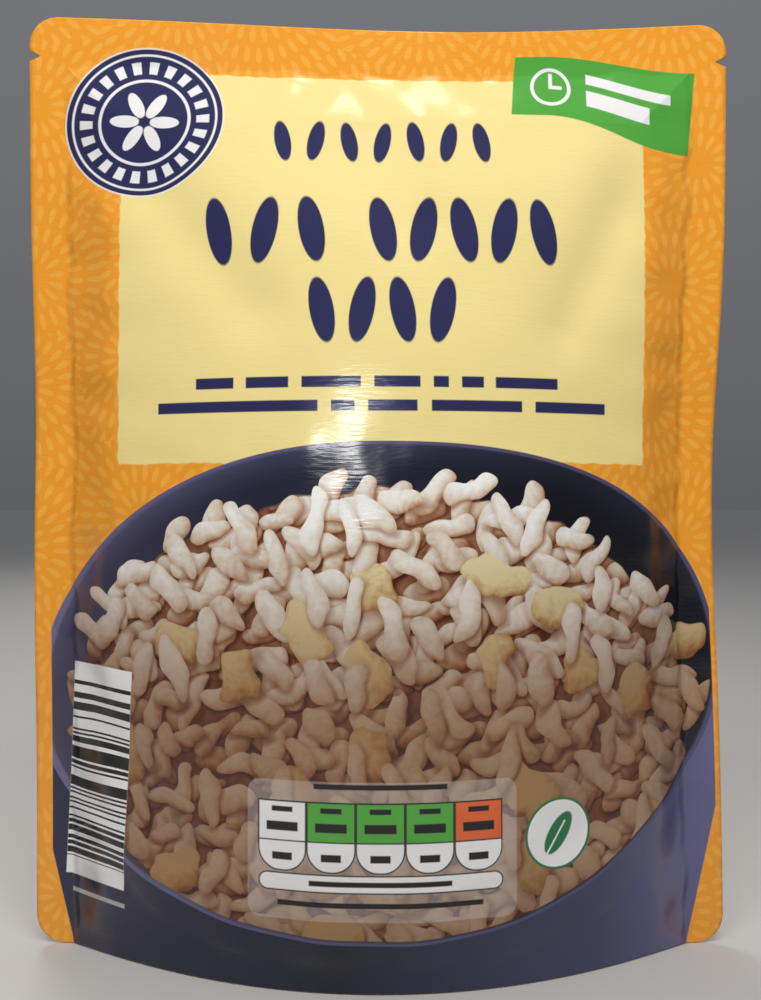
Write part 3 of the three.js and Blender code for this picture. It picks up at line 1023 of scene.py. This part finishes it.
def print_stripes(film, colour):
    """A white label of black stripes, drawn by a random rule, with a pale bar under it."""
    label = film.moved(-LABEL_CENTRE[0], -LABEL_CENTRE[1]).turned(LABEL_TURN)
    mask = bar(label, -LABEL_HALF[0], LABEL_HALF[0], 0, LABEL_HALF[1])
    colour = over(film, colour, mask, WHITE)
    dice = white_noise(film.tree, "1D", W=(label.up / STRIPE_STEP).sum("FLOOR")).outputs["Value"]
    dark = Wire(film.tree, dice).sum("GREATER_THAN", 1 - STRIPE_SHARE)
    colour = over(film, colour, bar(label, *UNDER_LABEL) * UNDER_LABEL_INK, WHITE)
    return over(film, colour, dark * mask * band(label.up, -STRIPES_HALF, STRIPES_HALF), BLACK)


# %% Table of five fields
TABLE_CENTRE, TABLE_HALF = (0.4, 28.1), (25.7, 13.1)
TABLE_RADIUS, TABLE_INK = 2.4, 0.2
FIELDS = [WHITE, GREEN, GREEN, GREEN, SALT_RED]
FIELD_WIDTH = 9.3
FIELD_TOP, FIELD_FOOT, TAB_FOOT = 37.4, 29.8, 24.2
TAB_RADIUS = 4.3
LINE = 0.26
PILL_CENTRE, PILL_HALF = (0.1, 22.2), (23.3, 1.75)
FIELD_BARS = [(35.8, 2.0, 0.5), (32.6, 3.0, 0.85), (27.0, 1.9, 0.7)]
TABLE_BARS = [(40.3, 12.6, 0.5), (22.2, 13.5, 0.5), (18.2, 19.5, 0.5)]


def print_table(film, colour):
    """A see-through white panel with five fields, their round tabs and a long pill, all outlined."""
    panel_mask = within(box(film, TABLE_CENTRE, TABLE_HALF, TABLE_RADIUS))
    colour = over(film, colour, panel_mask * TABLE_INK, WHITE)
    number = film.across / FIELD_WIDTH + len(FIELDS) / 2
    field = Film((number.sum("FRACT") - 0.5) * FIELD_WIDTH, film.up)
    table = band(film.across, -FIELD_WIDTH * len(FIELDS) / 2, FIELD_WIDTH * len(FIELDS) / 2)
    middle, half = (FIELD_TOP + TAB_FOOT) / 2, (FIELD_TOP - TAB_FOOT) / 2
    tab = box(field, (0, middle), (FIELD_WIDTH / 2, half), TAB_RADIUS)
    middle, half = (FIELD_TOP + FIELD_FOOT) / 2, (FIELD_TOP - FIELD_FOOT) / 2
    square = sharp_box(field, (0, middle), (FIELD_WIDTH / 2, half))
    pill = box(film, PILL_CENTRE, PILL_HALF, PILL_HALF[1])
    outlined = within(tab.least(square)) * table
    colour = over(film, colour, outlined.most(within(pill)), BLACK)
    colour = over(film, colour, (within(tab, LINE) * table).most(within(pill, LINE)), WHITE)
    colour = over(film, colour, within(square) * table, BLACK)
    steps = [(i / len(FIELDS), ink_of) for i, ink_of in enumerate(FIELDS)]
    inks = ramp_of(film.tree, number / len(FIELDS), steps, "CONSTANT")
    colour = over(film, colour, within(square, LINE) * table, inks)
    marks = [bar(field, -width, width, height, thick) * table for height, width, thick in FIELD_BARS]
    marks += [bar(film, -width, width, height, thick) for height, width, thick in TABLE_BARS]
    return over(film, colour, union(marks), BLACK)


# %% Leaf roundel
ROUNDEL_CENTRE, ROUNDEL_HALF = (34.8, 29.3), (7.0, 6.9)
ROUNDEL_EDGE, ROUNDEL_RING = (0.98, 1.01), (0.91, 0.94)
LEAF_HALF, LEAF_TURN = (2.1, 4.4), -0.6
LEAF_VEIN = (-0.18, 0.18, -1.6, 4.2)


def print_roundel(film, colour):
    """A white disc in a green ring, with one plain leaf."""
    reach = disc(film, ROUNDEL_CENTRE, ROUNDEL_HALF)["Reach"]
    colour = over(film, colour, reach.ramp(*ROUNDEL_EDGE, 1.0, 0.0), LEAF_GREEN)
    colour = over(film, colour, reach.ramp(*ROUNDEL_RING, 1.0, 0.0), WHITE)
    turned = film.moved(-ROUNDEL_CENTRE[0], -ROUNDEL_CENTRE[1]).turned(LEAF_TURN)
    leaf = disc(turned, (0, 0), LEAF_HALF)["Mask"]
    return over(film, colour, leaf * (1 - bar(turned, *LEAF_VEIN)), LEAF_GREEN)


# %% [markdown]
# ## Finishes
# A sheet can carry several materials. The front has three, one above the other, so that each computes
# only what is printed there. They meet on level rows of the sheet's grid, where both draw the same thing,
# and no seam shows.

# %% The front's finishes
UPPER_FROM, LOWER_TO = 107, 61


def printed(name, *lays):
    material, shader, film = film_material(name)
    colour = print_ground(film)
    for lay in lays:
        colour = lay(film, colour)
    connect(film.tree, shader.inputs["Base Color"], colour)
    return material


def front_zone(face):
    """0, 1 or 2 for a face in the lower, middle or upper zone, from its place on the flat film."""
    addresses = front_film.data.uv_layers.active.data
    up = sum(addresses[loop].uv[1] for loop in face.loop_indices) / len(face.loop_indices) * HEIGHT
    return (up > LOWER_TO) + (up > UPPER_FROM)


def dress(sheet, *materials):
    sheet.data.materials.clear()
    for material in materials:
        sheet.data.materials.append(material)


dress(
    front_film,
    printed("front print, lower", print_bowl, print_stripes, print_table, print_roundel),
    printed("front print, middle", print_panel, print_bowl),
    printed("front print, upper", print_panel, print_title, print_badge, print_ribbon),
)
for face in front_film.data.polygons:
    face.material_index = front_zone(face)


# %% The back's and the base's finishes
BACK_PANEL = dict(centre=(0, 100), half=(52, 70), radius=3)
BACK_EDGE, BACK_LINE_HALF, BACK_LINE_STEP = 44, 0.9, 6
BACK_HEAD = (-BACK_EDGE, 10, 158, 3.0)
LONG_LINES_FROM, LONG_LINES, RAGGED_STEP = 146, 9, 9
COLUMNS_FROM, COLUMN_LINES = 84, 8
BACK_COLUMNS = ((-BACK_EDGE, -8), (14, BACK_EDGE))


def back_bars(film):
    """A thick bar, then long lines with ragged ends, then two columns of short ones."""
    bars = [bar(film, *BACK_HEAD)]
    for i in range(LONG_LINES):
        height = LONG_LINES_FROM - i * BACK_LINE_STEP
        bars.append(bar(film, -BACK_EDGE, BACK_EDGE - RAGGED_STEP * (i % 3), height, BACK_LINE_HALF))
    for i in range(COLUMN_LINES):
        height = COLUMNS_FROM - i * BACK_LINE_STEP
        bars += [bar(film, *ends, height, BACK_LINE_HALF) for ends in BACK_COLUMNS]
    return bars


def print_back(film, colour):
    """A plain panel with rows of bars, as the back of such a pack has."""
    colour = over(film, colour, within(box(film, **BACK_PANEL)), YELLOW)
    return over(film, colour, union(back_bars(film)), NAVY)


dress(back_film, printed("back print", print_back))
dress(gusset_film, printed("base print"))

# %% [markdown]
# ## Putting the pieces on the frame
# The three films together stand for the one CAD solid. They all ride on the only body there is.

# %% Frame
for sheet in (front_film, back_film, gusset_film):
    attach(sheet, "root")
    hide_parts("pouch")

# %% [markdown]
# ## Floor, light and camera
# The pouch stands on a wide pale floor under a plain sky. The sky darkens towards the horizon as the far
# floor does, so the line between them stays faint. A small lamp above the camera makes the glint on the
# belly, and a long one straight above lights the shoulder. A wide soft box lights most of the front. It
# is left out of the reflections, because in such glossy film it would lie as a white sheet over the
# panel. The last lamp lights the back.

# %% Floor
FLOOR_RADIUS = 8
FLOOR_INK, FLOOR_ROUGHNESS = ink(206, 204, 200), 0.7
UNDER_PACK = 0.0002


def lay_floor():
    """A wide disc, laid a little under the pack so that their surfaces don't share a plane."""
    bpy.ops.object.select_all(action="DESELECT")
    bpy.ops.mesh.primitive_circle_add(
        vertices=96, radius=FLOOR_RADIUS, fill_type="NGON", location=(0, 0, -UNDER_PACK)
    )
    floor = bpy.context.object
    floor.name = "floor"
    paint = bpy.data.materials.new("pale floor")
    paint.use_nodes = True
    shader = paint.node_tree.nodes["Principled BSDF"]
    shader.inputs["Base Color"].default_value = FLOOR_INK
    shader.inputs["Roughness"].default_value = FLOOR_ROUGHNESS
    floor.data.materials.append(paint)


lay_floor()


# %% Lights
WARM_WHITE, WARMER_WHITE = (1.0, 0.97, 0.95), (1.0, 0.95, 0.93)


def area_light(name, place_at, look_at, size, power, colour=(1, 1, 1)):
    """A lamp at place_at that faces look_at, with its size in metres and its power in watts."""
    light = bpy.data.lights.new(name, "AREA")
    light.shape = "RECTANGLE"
    light.size, light.size_y = size
    light.energy = power
    light.color = colour
    lamp = bpy.data.objects.new(name, light)
    lamp.location = place_at
    lamp.rotation_euler = (Vector(look_at) - Vector(place_at)).to_track_quat("-Z", "Y").to_euler()
    bpy.context.scene.collection.objects.link(lamp)
    return lamp


area_light("key", (-0.035, -0.38, 0.25), (0, 0, 0.11), (0.065, 0.04), 0.28)
area_light("long lamp", (0.05, 0.0, 0.8), (0, 0, 0.15), (0.5, 0.05), 0.45, WARMER_WHITE)
soft_box = area_light("soft box", (0.0, -0.22, 0.45), (0, 0, 0.15), (0.46, 0.12), 1.3, WARM_WHITE)
soft_box.visible_glossy = False
area_light("back lamp", (-0.35, 0.5, 0.75), (0, 0, 0.1), (0.3, 0.3), 1.9)

# %% Sky
SKY = [(0.0, ink(94, 95, 98)), (1.0, ink(132, 134, 138))]

world = bpy.data.worlds.new("studio")
world.use_nodes = True
sky = world.node_tree
direction = add_node(sky, "ShaderNodeTexCoord").outputs["Generated"]
upward = add_node(sky, "ShaderNodeSeparateXYZ", {0: direction}).outputs["Z"]
connect(sky, sky.nodes["Background"].inputs["Color"], ramp_of(sky, upward, SKY))
bpy.context.scene.world = world
bpy.context.scene.view_settings.view_transform = "Standard"

# %% Camera
FRAME_HIGH_PX = 1000
PX_PER_MM = 5.04
CAMERA_DISTANCE = 0.165
CAMERA_HEIGHT = 0.0932
LOOSER = 0.94
SENSOR = 36

camera_data = bpy.data.cameras.new("camera")
camera_data.sensor_width = SENSOR
camera_data.lens = SENSOR * PX_PER_MM * CAMERA_DISTANCE / MM / FRAME_HIGH_PX * LOOSER
camera_data.clip_start = 0.01
camera = bpy.data.objects.new("camera", camera_data)
camera.location = (0, -CAMERA_DISTANCE, CAMERA_HEIGHT)
camera.rotation_euler = (math.pi / 2, 0, 0)
bpy.context.scene.collection.objects.link(camera)
bpy.context.scene.camera = camera
print("lens in mm:", round(camera_data.lens, 2))
